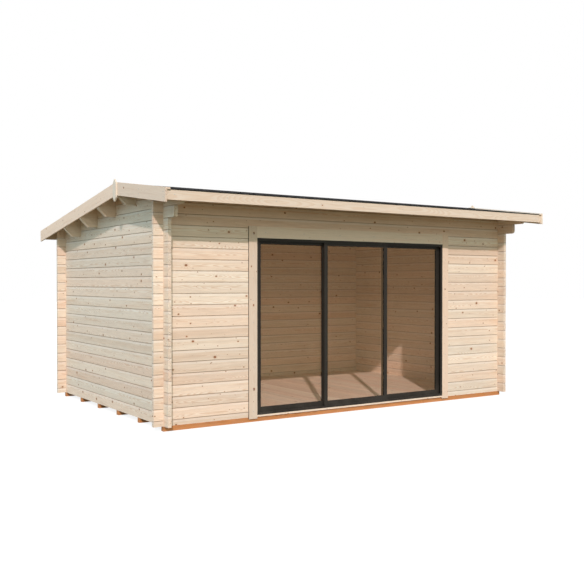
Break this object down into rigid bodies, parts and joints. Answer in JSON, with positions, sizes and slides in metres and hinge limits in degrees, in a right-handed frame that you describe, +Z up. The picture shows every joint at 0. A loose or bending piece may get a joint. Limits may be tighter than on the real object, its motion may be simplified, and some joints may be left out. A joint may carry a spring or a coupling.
{
  "type": "log garden house",
  "caption": "Timber garden house of interlocking logs with a low uneven gable roof and a wide aluminium sliding glass door.",
  "frame": {"origin": "on level ground under the middle of the house's overall box", "axes": "+X along the front wall to the right as seen from the front, +Y from the front to the back, +Z up"},
  "size_m": [5.988, 4.419, 2.9072],
  "materials": {
    "front_logs": "planed spruce, untreated, matt",
    "side_logs": "planed spruce, untreated, matt",
    "beam_wood": "planed spruce, untreated, matt",
    "roof_boards": "planed tongue-and-groove spruce boards, matt",
    "floor_wood": "planed tongue-and-groove spruce boards, matt",
    "joist_wood": "pressure-treated softwood, matt",
    "eave_boards": "planed spruce board, matt",
    "verge_boards": "planed spruce board, matt",
    "door_side_trim": "planed spruce board, matt",
    "door_head_trim": "planed spruce board, matt",
    "membrane": "matt black roofing membrane",
    "door_metal": "anthracite powder coat, satin",
    "door_glass": "bronze-tinted flat glass, clear"
  },
  "bodies": {
    "house": {"foundation_joists": "joist_wood", "floor_boards": "floor_wood", "skirting_boards": "beam_wood", "front_wall_left": "front_logs", "front_wall_right": "front_logs", "front_wall_top": "front_logs", "left_wall": "side_logs", "right_wall": "side_logs", "back_wall": "front_logs", "ridge_purlin": "beam_wood", "roof_purlins": "beam_wood", "roof_deck_front": "roof_boards", "roof_deck_back": "roof_boards", "roofing_front": "membrane", "roofing_back": "membrane", "front_fascia": "eave_boards", "back_fascia": "eave_boards", "left_barge_boards": "verge_boards", "right_barge_boards": "verge_boards", "left_verge_strips": "verge_boards", "right_verge_strips": "verge_boards", "left_finial": "verge_boards", "right_finial": "verge_boards", "door_sill_board": "door_head_trim", "door_frame": "door_metal", "left_fixed_leaf": "door_metal", "left_fixed_glass": "door_glass", "right_fixed_leaf": "door_metal", "right_fixed_glass": "door_glass", "left_door_trim": "door_side_trim", "right_door_trim": "door_side_trim", "head_door_trim": "door_head_trim"},
    "door_leaf": {"sliding_leaf": "door_metal", "sliding_glass": "door_glass"}
  },
  "joints": [
    {"name": "door_slide", "type": "slide", "parent": "house", "child": "door_leaf", "axis": [1, 0, 0], "range_m": [-0.991, 0.991]}
  ]
}
